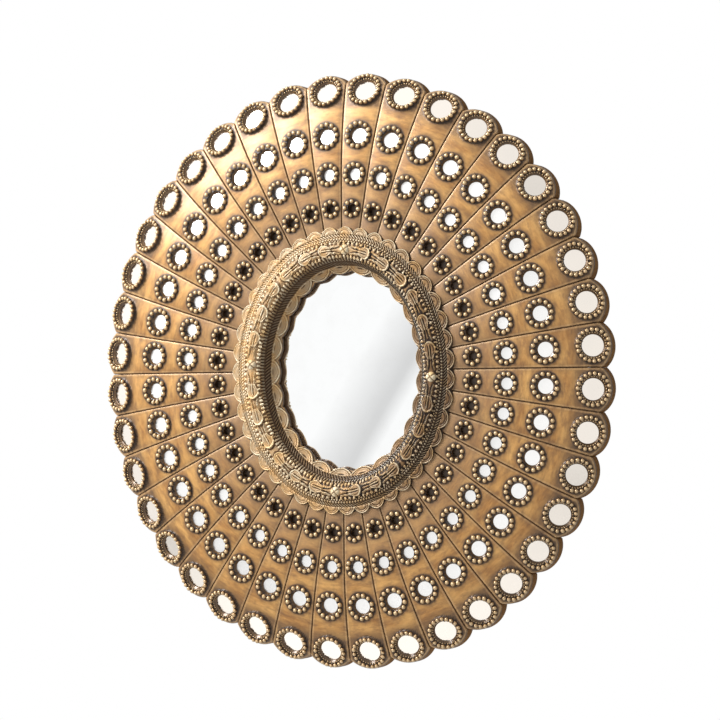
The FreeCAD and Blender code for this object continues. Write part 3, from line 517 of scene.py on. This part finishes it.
def petal_body(shape, index):
    """The petal's crowned face with its bosses, its walls and its stepped rear."""
    left, left_slope = seam_line(index, index + 1, -1)
    right, right_slope = seam_line(index, index, 1)
    tip_centre = TIP_REACH - TIP_RADIUS
    corner = tip_centre + math.sqrt(TIP_RADIUS ** 2 - max(abs(left), right) ** 2)

    # Columns crowd at the seams and rows crowd at the tip, where the edges are rounded.
    near, edge = EDGE_STEPS[:-1], EDGE_STEPS[-1]
    share = np.concatenate([np.zeros_like(near), np.linspace(0, 1, PLAIN_COLUMNS),
                            np.ones_like(near)])
    from_edge = np.concatenate([near, np.full(PLAIN_COLUMNS, edge), near[::-1]])

    def across_at(out):
        low, high = left + left_slope * out, right + right_slope * out
        place = (low + edge) + (high - low - 2 * edge) * share
        place = np.where(share <= 0, low + from_edge, place)
        return low, high, np.where(share >= 1, high - from_edge, place)

    tip_across = np.minimum(np.abs(across_at(corner + 4)[2]), TIP_RADIUS - 1)
    tip_out = tip_centre + np.sqrt(TIP_RADIUS ** 2 - tip_across ** 2)
    reach = np.concatenate([np.linspace(0, 1, PLAIN_ROWS), np.ones(len(TIP_STEPS) - 1)])
    back = np.concatenate([np.full(PLAIN_ROWS, TIP_STEPS[-1]), TIP_STEPS[:-1][::-1]])
    out = -PETAL_INNER + (tip_out - TIP_STEPS[-1] + PETAL_INNER) * reach[:, None]
    out = out + (TIP_STEPS[-1] - back)[:, None]
    low, high, across = across_at(out)
    rows, columns = across.shape

    seam_distance = np.minimum(across - low, high - across)
    tip_distance = np.broadcast_to(back[:, None], out.shape).copy()
    tip_distance[:PLAIN_ROWS] = (TIP_RADIUS - np.hypot(across, out - tip_centre))[:PLAIN_ROWS]
    tip_distance = np.where(out < tip_centre, np.inf, np.maximum(tip_distance, 0))

    centre = (low + high) / 2
    half = (high - low) / 2
    height = surface_height(-out) + PILLOW * (1 - ((across - centre) / half) ** 2)
    shade_and_grime = np.zeros_like(height)
    for name, row in ROWS.items():
        plane, radius = rosette_plane(row, across, out)
        boss = boss_radius(row)
        side = plane - BOSS_FALL * np.maximum(0, radius - boss + BOSS_TOP)
        if name == "outer":
            height = np.where(out > 0, np.minimum(height, plane), height)
        height = smooth_max(height, side, BOSS_BLEND)
        pit = row["ring"] - row["bead"] - 1.0
        height = np.where(radius < pit, plane - PIT_DEPTH, height)
        # Painted shade darkens the petal round the foot of each boss, strongly close in and faintly
        # further out.
        halo = 0.95 * (1 - smoothstep(boss + 1.0, boss + 5.5, radius))
        wide_halo = 0.35 * (1 - smoothstep(boss, boss + 11, radius))
        shade_and_grime = np.maximum(shade_and_grime, np.maximum(halo, wide_halo))
    for distance, radius in ((seam_distance, SEAM_ROUND), (tip_distance, TIP_ROUND)):
        height = height - (radius - np.sqrt(radius ** 2 - np.maximum(0, radius - distance) ** 2))

    # Painted shade with some grime darkens the outer end of the petal round the outer rosette,
    # more at the tip, and along the seams, and wear with painted highlights makes the rounded
    # edges pale.
    shade_and_grime = np.maximum(shade_and_grime, 0.5 * smoothstep(-34, -14, out) + 0.15 * smoothstep(5, 15, out))
    shade_and_grime = np.maximum(shade_and_grime, 0.42 * np.exp(-seam_distance / 5.0))
    shade_and_grime = np.maximum(shade_and_grime, smoothstep(1.0, 0.0, seam_distance) * 0.6)
    wear_and_highlight = bump(seam_distance, 1.4, 0.6) * 0.4
    wear_and_highlight = np.maximum(wear_and_highlight, bump(tip_distance, 1.6, 0.8) * 0.7)
    shade_and_grime = np.where(wear_and_highlight > 0.3, shade_and_grime * 0.5, shade_and_grime)
    brush = np.stack([across, out, np.full_like(out, GRAIN_STEP * index)], -1).reshape(-1, 3)
    top = np.stack([across, out, height], -1).reshape(-1, 3)

    # The rear follows the two edges, nearly closes the seams, and ends in an arc at the tip.
    rear = np.where(-out[:, 0] < FOOT_INSET, FOOT_HEIGHT, SEAT_HEIGHT)
    spread = (SEAM_GAP - REAR_SEAM_GAP) / 2
    rear_left = np.stack([across[:, 0] - spread, out[:, 0], rear], -1)
    rear_right = np.stack([across[:, -1] + spread, out[:, -1], rear], -1)
    rear_tip = np.stack([across[-1], out[-1], np.full(columns, FOOT_HEIGHT)], -1)[1:-1]
    points = np.concatenate([top, rear_left, rear_right, rear_tip])
    count = rows * columns
    index_left = count + np.arange(rows)
    index_right = index_left + rows
    index_tip = np.concatenate([[index_left[-1]], count + 2 * rows + np.arange(columns - 2),
                                [index_right[-1]]])
    top_left = np.arange(rows) * columns
    top_right = top_left + columns - 1
    top_tip = (rows - 1) * columns + np.arange(columns)

    def strip(first, second):
        return np.stack([first[:-1], first[1:], second[1:], second[:-1]], -1)

    walls = np.concatenate([strip(top_left, index_left), strip(index_right, top_right),
                            strip(top_tip, index_tip), strip(index_left, index_right)[:-1]])
    rear_face = np.concatenate([[index_left[-2]], index_tip, [index_right[-2]]])
    inner_face = np.concatenate([np.arange(columns)[::-1], [index_left[0], index_right[0]]])
    clean = np.zeros(len(points) - count)
    shape.add(points, [grid_faces(rows, columns), walls, rear_face[None], inner_face[None]],
              [FACE, SIDE, SIDE, SIDE], np.concatenate([shade_and_grime.ravel(), clean]),
              np.concatenate([wear_and_highlight.ravel(), clean]), np.concatenate([brush, points[count:]]))


def lathe(profile, segments):
    """A closed turned shape; profile is (radius, height), from one end of its axis to the other."""
    profile = np.asarray(profile, float)
    turn = np.arange(segments) / segments * TURN
    radius, height = profile[1:-1, :1], profile[1:-1, 1:]
    rings = np.stack(np.broadcast_arrays(radius * np.cos(turn), radius * np.sin(turn), height), -1)
    return capped(rings, [[0, 0, profile[0, 1]], [0, 0, profile[-1, 1]]])


def on_rosette(row, points):
    """Moves points from a rosette's own frame, its axis upwards, into its petal's frame."""
    tilt = math.radians(row["tilt"])
    across, up, height = points.T
    out = up * math.cos(tilt) + height * math.sin(tilt) - row["inset"]
    front = height * math.cos(tilt) - up * math.sin(tilt) + surface_height(row["inset"])
    return np.stack([across, out, front], -1)


def collar(shape, name, row, index):
    """The turned collar that carries the beads and holds the mirror, or the empty hole."""
    face, ring, bead, eye = row["rise"], row["ring"], row["bead"], row["eye"]
    floor = face - row["depth"]
    if name == "blind":
        dish = [(ring - 0.7 * bead, face - 0.2), (eye + 0.7, face - 1.2), (eye, face - 2.2),
                (eye, floor), (0, floor)]
    else:
        seat = eye + MIRROR_PLAY
        dish = [(ring - 0.6 * bead, face - 0.1), (ring - 1.1 * bead, face - 1.3),
                (seat + 1.2, floor + 1.1), (seat, floor),
                (seat, floor - MIRROR_THICKNESS), (0, floor - MIRROR_THICKNESS)]
    outer = boss_radius(row)
    bottom = dish[-1][1] - 1.0
    profile = [(0, bottom), (outer, bottom), (outer, face - 1.0), (outer - 0.3, face - 0.2),
               (outer - 1.0, face), (ring, face + 0.1)] + dish
    points, faces = lathe(profile, 48)
    radius = np.hypot(points[:, 0], points[:, 1])
    # Painted shade darkens the whole collar, between and under the beads, and a band of painted
    # light lightens the dish next to the mirror.
    shade_and_grime = np.where(radius < ring, 0.9, 0.95)
    lit = smoothstep(eye + 3.0, eye + 0.6, radius) * (radius > eye) * (name != "blind")
    placed = on_rosette(row, points)
    brush = placed + [0, 0, GRAIN_STEP * index]
    shape.add(placed, faces, ROSETTE, shade_and_grime - 0.25 * lit, 0.0, brush)


def ball(rings=7, segments=12):
    """A unit sphere, turned from its lowest point to its top."""
    tilt = np.linspace(0, math.pi, rings + 2)
    profile = np.stack([np.sin(tilt), -np.cos(tilt)], -1)
    return lathe(profile, segments)


BALL_POINTS, BALL_FACES = ball()


def beads(shape, row, count, ring, radius, height, index):
    """A ring of beads, each a little off its place and size as hand-cast beads are."""
    top = BALL_POINTS[:, 2]
    # Painted shade darkens each bead's lower half, and wear with a painted highlight makes its top
    # pale.
    shade_and_grime, wear_and_highlight = 0.97 * smoothstep(0.35, -0.25, top), 0.66 * smoothstep(0.3, 1.0, top)
    for number in range(count):
        turn = TURN * (number + rng.uniform(-0.07, 0.07)) / count
        size = radius * rng.uniform(0.93, 1.06)
        reach = ring + rng.uniform(-0.2, 0.2)
        middle = np.array([reach * math.cos(turn), reach * math.sin(turn), height])
        placed = on_rosette(row, BALL_POINTS * size + middle)
        brush = placed + [0, 0, GRAIN_STEP * index]
        shape.add(placed, BALL_FACES, ROSETTE, shade_and_grime, wear_and_highlight, brush)


def petal(index, materials):
    """One cast petal with its four rosettes."""
    shape = Shape()
    petal_body(shape, index)
    for name, row in ROWS.items():
        collar(shape, name, row, index)
        beads(shape, row, row["beads"], row["ring"], row["bead"], row["rise"] + 0.35, index)
    outer = ROWS["outer"]
    beads(shape, outer, FINE_BEADS, FINE_RING, FINE_RADIUS, outer["rise"] - FINE_DROP, index)
    name = f"petal_{index + 1:02d}"
    thing = shape.piece(name + "_cast", materials, petal_to_world(index))
    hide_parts(name)


petal_materials = [petal_gold(), rosette_gold(), side_gold()]
for index in range(PETALS):
    petal(index, petal_materials)


# ------------------------------------------------------------------ centre ring
def fraction(x):
    return x - np.floor(x)


def scallop(a, b):
    """Relief of a scallop's double arc; a runs -0.5 to 0.5 along it, b 0 to 1 to its peak."""
    radius = np.hypot(SCALLOP_STRETCH * a, b)
    relief = 1.1 * bump(radius, 0.93, 0.075) + 0.8 * bump(radius, 0.70, 0.06)
    relief += 0.5 * bump(radius, 0.35, 0.16)
    return relief - 1.4 * smoothstep(1.0, 1.06, radius)


def scallop_notch(a, depth):
    """How far the outline steps back from the peak of a scallop towards its two notches."""
    return depth * (1 - np.sqrt(1 - (1.9 * a) ** 2)) / (1 - math.sqrt(1 - 0.95 ** 2))


def slanted_ridges(along, across, centre, half):
    """A narrow band of slanted ridges."""
    inside = smoothstep(half, half - 0.6, np.abs(across - centre))
    wave = np.cos(TURN * (along + 0.32 * (across - centre)))
    return inside * (0.7 * wave - 0.2)


def bead_row(along, pitch, across, centre, radius):
    """A row of round beads, one at the middle of each pitch."""
    distance = np.hypot((fraction(along) - 0.5) * pitch, across - centre) / radius
    return radius * 0.9 * np.sqrt(np.maximum(0, 1 - distance ** 2))


def lobe(u, v, tip, middle, length, width, base):
    """One U-shaped lobe with a raised rim, dished inside; its round end is at tip."""
    half = width * (1 - 0.45 * smoothstep(tip - length, tip - 2.4 * length, u))
    radius = np.hypot(np.maximum(0, (u - tip + length) / length), (v - middle) / half)
    dish = base + 1.05 * bump(radius, 0.88, 0.12) + 0.3 * bump(radius, 0.5, 0.12)
    inside = smoothstep(1.03, 0.97, radius) * smoothstep(tip - 2.6 * length, tip - 2.2 * length, u)
    return dish * inside + LEAF_GROUND * (1 - inside)


def leaves(along, v):
    """Five-lobed leaves that overlap and point away from the four studs."""
    relief = np.full_like(v, LEAF_GROUND)
    for tip in LEAF_TIPS:
        u = along - tip
        for back, side, length, width, base in LOBES:
            for middle in {side, -side}:
                relief = np.maximum(relief, lobe(u, v, -back, middle, length, width, base))
        fan = np.cos(16 * np.arctan2(v, u + 21)) * smoothstep(-14, -8, u) * smoothstep(-1.5, -3, u)
        relief += 0.16 * fan * (np.abs(v) < 5.5) * (u < 0)
        stem = smoothstep(-31, -28, u) * smoothstep(-3, -6, u)
        grooves = bump(v, 1.35, 0.5) + bump(v, -1.35, 0.5)
        relief += stem * (0.7 * bump(v, 0, 0.55) - 0.6 * grooves)
    return relief


def blurred(field, along, across):
    """A field smoothed along the ring, which closes on itself, and across it."""
    total = sum(np.roll(field, shift, axis=1) for shift in range(-along, along + 1, 2))
    total = total / (along + 1)
    padded = np.pad(total, ((across, across), (0, 0)), mode="edge")
    rows = len(field)
    return sum(padded[shift:shift + rows] for shift in range(2 * across + 1)) / (2 * across + 1)


def centre_ring():
    """The carved ring, with the relief of its bands laid on its section."""
    angle = np.arange(RING_STEPS) / RING_STEPS * TURN
    across = np.linspace(0, RING_WIDTH, ACROSS_STEPS)
    level = np.interp(across, PROFILE[:, 0], PROFILE[:, 1])
    level = np.convolve(np.pad(level, 1, mode="edge"), [0.25, 0.5, 0.25], "valid")
    slope = np.gradient(level, across)
    normal_across, normal_up = -slope / np.hypot(1, slope), 1 / np.hypot(1, slope)
    t, e = np.meshgrid(angle, across)
    run = length_along(RING_OUTER + CREST, np.append(angle, TURN))
    crest_length = run[-1]
    along = np.broadcast_to(run[:-1] / crest_length, t.shape)

    # Distance from the nearest stud along the crest, in mm.
    from_stud = crest_length * np.abs(fraction(4 * (t + STUD_TURN) / TURN + 0.5) - 0.5) / 4
    wander = 0.8 * np.sin(7 * t + 1) + 0.5 * np.sin(17 * t)
    outer_a = fraction(t / TURN * SCALLOPS + 0.03 * np.sin(5 * t)) - 0.5
    lip_a = fraction(along * LIP_SCALLOPS + 0.04 * np.sin(3 * t)) - 0.5
    outer_b, lip_b = (FLANGE_WIDTH - e) / FLANGE_WIDTH, (e - LIP_START) / LIP_WIDTH
    relief = scallop(outer_a, outer_b) * (e < FLANGE_WIDTH + 0.2)
    for count, centre, half in RIDGE_BANDS:
        relief += slanted_ridges(along * count, e, centre, half)
    for count, pitch, centre, radius, shift in BEAD_ROWS:
        relief += bead_row(along * count + shift, pitch, e, centre, radius)
    from_crest = e - LEAF_PLACE
    crest = smoothstep(9.8, 9.2, np.abs(from_crest))
    relief += leaves(from_stud + wander, from_crest + 0.5 * np.sin(11 * t)) * crest
    relief += scallop(lip_a, lip_b) * (e > LIP_START + 0.2)
    eye = smoothstep(0.62, 0.2, np.hypot(SCALLOP_STRETCH * lip_a, lip_b))
    relief -= 1.2 * eye * (e > LIP_START + 1.0)
    detail = relief - blurred(relief, 10, 4)
    depth = relief + 0.15 * np.sin(9 * t + e) + 0.1 * np.sin(23 * t - 0.7 * e)
    raised = level[:, None] + depth * normal_up[:, None]
    inset = RING_OUTER + e + depth * normal_across[:, None]
    inset += scallop_notch(outer_a, 3.8) * np.clip(1 - e / 9, 0, 1) ** 1.5
    inset -= scallop_notch(lip_a, 3.6) * np.clip((e - 49) / 9, 0, 1) ** 1.5

    # Plain stations close the section underneath, from the lip's edge round to the flange.
    inner_edge, outer_edge = inset[-1], inset[0]
    under = [(inner_edge + 0.2, 22.5), (inner_edge + 0.1, 18.6), (inner_edge - 1.0, 18.0),
             (np.full_like(angle, 222.0), 17.0), (np.full_like(angle, 187.0), 17.0),
             (np.full_like(angle, 187.0), 40.0), (outer_edge + 0.6, 40.0), (outer_edge, 40.8)]
    inset = np.concatenate([inset] + [np.reshape(line, (1, -1)) for line, _ in under])
    height = np.concatenate([raised] + [np.full((1, RING_STEPS), tall) for _, tall in under])
    x, z = on_oval(inset, np.broadcast_to(angle, inset.shape))
    points = np.stack([x, -height, z], -1).reshape(-1, 3)
    stations = len(inset)
    index = np.arange(stations)[:, None] * RING_STEPS + np.arange(RING_STEPS)
    following = np.roll(index, -1, axis=1)
    below, below_following = np.roll(index, -1, axis=0), np.roll(following, -1, axis=0)
    quads = np.stack([index, following, below_following, below], -1).reshape(-1, 4)

    # Painted shade with some grime darkens the carving's hollows, the steep cove, the outer slope
    # and the plain stations underneath; wear and painted highlights make the raised carving pale,
    # less so in the cove.
    steep = smoothstep(38.6, 40.5, e) * smoothstep(49.5, 47.5, e)
    outer_slope = smoothstep(9, 10, e) * smoothstep(20, 19, e)
    shade_and_grime = np.maximum(0.92 * smoothstep(0.05, -0.55, detail), 0.64 * steep + 0.25 * outer_slope)
    wear_and_highlight = 0.72 * smoothstep(0.15, 0.85, detail) * (1 - 0.6 * steep)
    # Painted side light: painted shade darkens the ring on the right, darkest a little below the
    # middle, and painted light with highlights brightens it on the left, except in the cove.
    painted_side_light = np.cos(t + SIDE_LIGHT_TURN)
    painted_side_light = np.where(painted_side_light < 0, painted_side_light * (1 - steep), painted_side_light)
    shade_and_grime = np.clip(shade_and_grime + 0.5 * painted_side_light, 0, 1)
    wear_and_highlight = np.clip(wear_and_highlight * (1 - 0.5 * painted_side_light), 0, 1)
    extra = len(under) * RING_STEPS
    shape = Shape()
    shape.add(points, [quads], 0, np.concatenate([shade_and_grime.ravel(), np.full(extra, 0.7)]),
              np.concatenate([wear_and_highlight.ravel(), np.zeros(extra)]), points)
    ring_studs(shape)
    thing = shape.piece("centre_ring_carved", [ring_gold()], sharp=70)
    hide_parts("centre_ring")


def ring_studs(shape):
    """Four knobs on the crest, each cut crosswise into a flower of four petals."""
    points, faces = ball(18, 40)
    turn = np.arctan2(points[:, 1], points[:, 0])
    groove = np.abs(np.sin(2 * turn)) * np.hypot(points[:, 0], points[:, 1])
    cut = np.exp(-(groove / 0.26) ** 2)
    size = 1 - 0.13 * cut * (points[:, 2] > -0.2)
    knob = points * size[:, None] * [STUD_RADIUS, STUD_RADIUS, STUD_RISE]
    for quarter in range(4):
        place = quarter * TURN / 4 - STUD_TURN
        x, z = on_oval(RING_OUTER + CREST, place)
        spin = math.pi / 4 + rng.uniform(-0.3, 0.3)
        across = knob[:, 0] * math.cos(spin) - knob[:, 1] * math.sin(spin)
        up = knob[:, 0] * math.sin(spin) + knob[:, 1] * math.cos(spin)
        height = np.minimum(STUD_LEVEL + knob[:, 2], STUD_TOP)
        placed = np.stack([x + across, -height, z + up], -1)
        # Painted shade darkens each stud's lower part and its cuts, and wear with painted
        # highlights makes its top pale.
        shade_and_grime = np.maximum(0.6 * smoothstep(0.3, -0.2, points[:, 2]), 0.7 * cut)
        wear_and_highlight = 0.9 * smoothstep(-0.1, 0.6, points[:, 2]) * (1 - cut)
        shape.add(placed, faces, 0, shade_and_grime, wear_and_highlight, placed)


centre_ring()


# ------------------------------------------------------------------ centre glass
def centre_glass():
    """The convex glass as one smooth dome with an even thickness."""
    apex = -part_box("centre_mirror")[0].y / MM
    half_width, half_height = RIM_HALF_WIDTH - GLASS_INSET, RIM_HALF_HEIGHT - GLASS_INSET
    bulge = GLASS_CROWN / (1 - math.sqrt(1 - 1 / GLASS_FLATNESS ** 2))
    segments, circles = 128, 40
    turn = np.arange(segments) / segments * TURN
    share = np.linspace(1, 0, circles, endpoint=False)
    fall = bulge * (1 - np.sqrt(1 - (share / GLASS_FLATNESS) ** 2))
    sheets = []
    for depth, order in ((GLASS_THICKNESS, slice(None, None, -1)), (0, slice(None))):
        radius, level = share[order], apex - depth - fall[order]
        sheets.append(np.stack([radius[:, None] * half_width * np.cos(turn),
                                np.broadcast_to(-level[:, None], (circles, segments)),
                                radius[:, None] * half_height * np.sin(turn)], -1))
    ends = [[0, GLASS_THICKNESS - apex, 0], [0, -apex, 0]]
    points, faces = capped(np.concatenate(sheets), ends)
    shape = Shape()
    shape.add(points, faces, 0, 0, 0, points)
    silver = mirror_silver("centre_silver", (252, 253, 253), 0.015)
    thing = shape.piece("centre_glass", [silver], sharp=50)
    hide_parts("centre_mirror")


centre_glass()


# ------------------------------------------------------- finishes of frame nodes
def finish_nodes():
    """Gives the nodes that keep their own meshes their finishes."""
    small = mirror_silver("small_silver", (255, 254, 252), 0.26)
    large = mirror_silver("outer_silver", (243, 235, 225), 0.12)
    zinc = plated_steel("zinc_plate", (196, 194, 184), 0.32)
    brass = plated_steel("passivated_screws", (206, 184, 120), 0.35)
    finishes = {
        "outer_row_mirrors": large, "middle_row_mirrors": small, "inner_row_mirrors": small,
        "back_board": board_wood(), "glass_backing": hardboard(), "wall_bumpers": bumper_rubber(),
        "backing_clips": zinc, "hanger_strap_left": zinc, "hanger_strap_right": zinc,
        "hanger_ring_left": zinc, "hanger_ring_right": zinc,
        "clip_screws": brass, "petal_screws": brass, "ring_screws": brass, "hanger_screws": brass,
    }
    for name, material in finishes.items():
        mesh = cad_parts[name].data
        mesh.materials.clear()
        mesh.materials.append(material)


finish_nodes()


# ------------------------------------------------------------------------ studio
CAMERA_AZIMUTH, CAMERA_ELEVATION, CAMERA_ROLL = (math.radians(a) for a in (23.32, -0.96, -0.43))
CAMERA_DISTANCE = 3.393
FOCAL_PIXELS, PICTURE, SENSOR = 2673.6, 720, 36.0
CENTRE_X, CENTRE_Y = 355.35, 371.12
AMBIENT, GREY_SIDE, BRIGHT_SIDE = 0.25, 0.7, 1.25
GREY_WAY = (0.707, 0.0, -0.707)
FLOOR_HALF, FLOOR_LEVEL, FLOOR_GLOW = 3.0, -1.3, 0.36


def camera():
    """The camera, at the place and with the lens and crop fitted to the photograph."""
    lens = bpy.data.cameras.new("camera")
    lens.sensor_width = SENSOR
    lens.lens = FOCAL_PIXELS / PICTURE * SENSOR
    lens.shift_x = (PICTURE / 2 - CENTRE_X) / PICTURE
    lens.shift_y = (CENTRE_Y - PICTURE / 2) / PICTURE
    thing = linked("camera", lens)
    az, el = CAMERA_AZIMUTH, CAMERA_ELEVATION
    back = Vector((math.sin(az) * math.cos(el), -math.cos(az) * math.cos(el), math.sin(el)))
    turned = back.to_track_quat("Z", "Y").to_matrix().to_4x4()
    roll = Matrix.Rotation(CAMERA_ROLL, 4, "Z")
    thing.matrix_world = Matrix.Translation(back * CAMERA_DISTANCE) @ turned @ roll
    bpy.context.scene.camera = thing


def softbox(name, place, width, height, power, shows):
    """A rectangular soft light that faces the middle of the mirror, and may show in it."""
    lamp = bpy.data.lights.new(name, "AREA")
    lamp.shape = "RECTANGLE"
    lamp.size, lamp.size_y = width, height
    lamp.energy = power
    thing = linked(name, lamp)
    thing.location = place
    thing.rotation_euler = (-Vector(place)).to_track_quat("-Z", "Y").to_euler()
    thing.visible_glossy = shows


def studio_world():
    """White to the camera, and a softer level that lights.

    Mirrors see white that falls to a grey band and grows brighter at the far side.
    """
    n = Nodes("studio", bpy.data.worlds, "Background")
    bpy.context.scene.world = n.owner
    path = n.new("LightPath")
    towards = n.new("VectorMath", {"operation": "DOT_PRODUCT"})
    n.feed(towards.inputs[0], n.new("TexCoord").outputs["Generated"])
    n.feed(towards.inputs[1], GREY_WAY)
    side = towards.outputs["Value"]
    falling = n.ramp(side, -0.29, -0.15, 1.0, GREY_SIDE)
    seen = n.ramp(side, -0.135, -0.085, falling, 0.99)
    seen = n.ramp(side, -0.75, -0.5, BRIGHT_SIDE, seen)
    level = n.ramp(path.outputs["Is Glossy Ray"], 0, 1, AMBIENT, seen)
    level = n.ramp(path.outputs["Is Camera Ray"], 0, 1, level, 1.0)
    n.shade(Strength=level, Color=(1, 1, 1, 1))


def studio_floor():
    """Pale paper far below the hung mirror; it keeps shadows, and shows pale in the glass."""
    mesh = bpy.data.meshes.new("studio_floor")
    corners = [(FLOOR_HALF * x, FLOOR_HALF * y, FLOOR_LEVEL)
               for x, y in ((-1, -1), (1, -1), (1, 1), (-1, 1))]
    mesh.from_pydata(corners, [], [(0, 1, 2, 3)])
    thing = linked("studio_floor", mesh)
    n = Nodes("floor_paper")
    path = n.new("LightPath")
    seen = n.math("MAXIMUM", path.outputs["Is Camera Ray"], path.outputs["Is Glossy Ray"])
    grain = object_noise(n, 5, 3)
    n.shade(Base_Color=n.mix(grain, (0.84, 0.84, 0.83, 1), (0.87, 0.87, 0.87, 1)), Roughness=0.8)
    glow = n.math("MULTIPLY", seen, FLOOR_GLOW)
    n.shade(Emission_Color=(1, 1, 1, 1), Emission_Strength=glow)
    mesh.materials.append(n.owner)


camera()
studio_world()
studio_floor()
softbox("key", (-1.3, -1.22, 1.15), 0.9, 0.9, 72, True)
softbox("fill", (1.6, -2.6, 0.2), 1.2, 1.8, 7, False)
bpy.context.scene.view_settings.view_transform = "Standard"
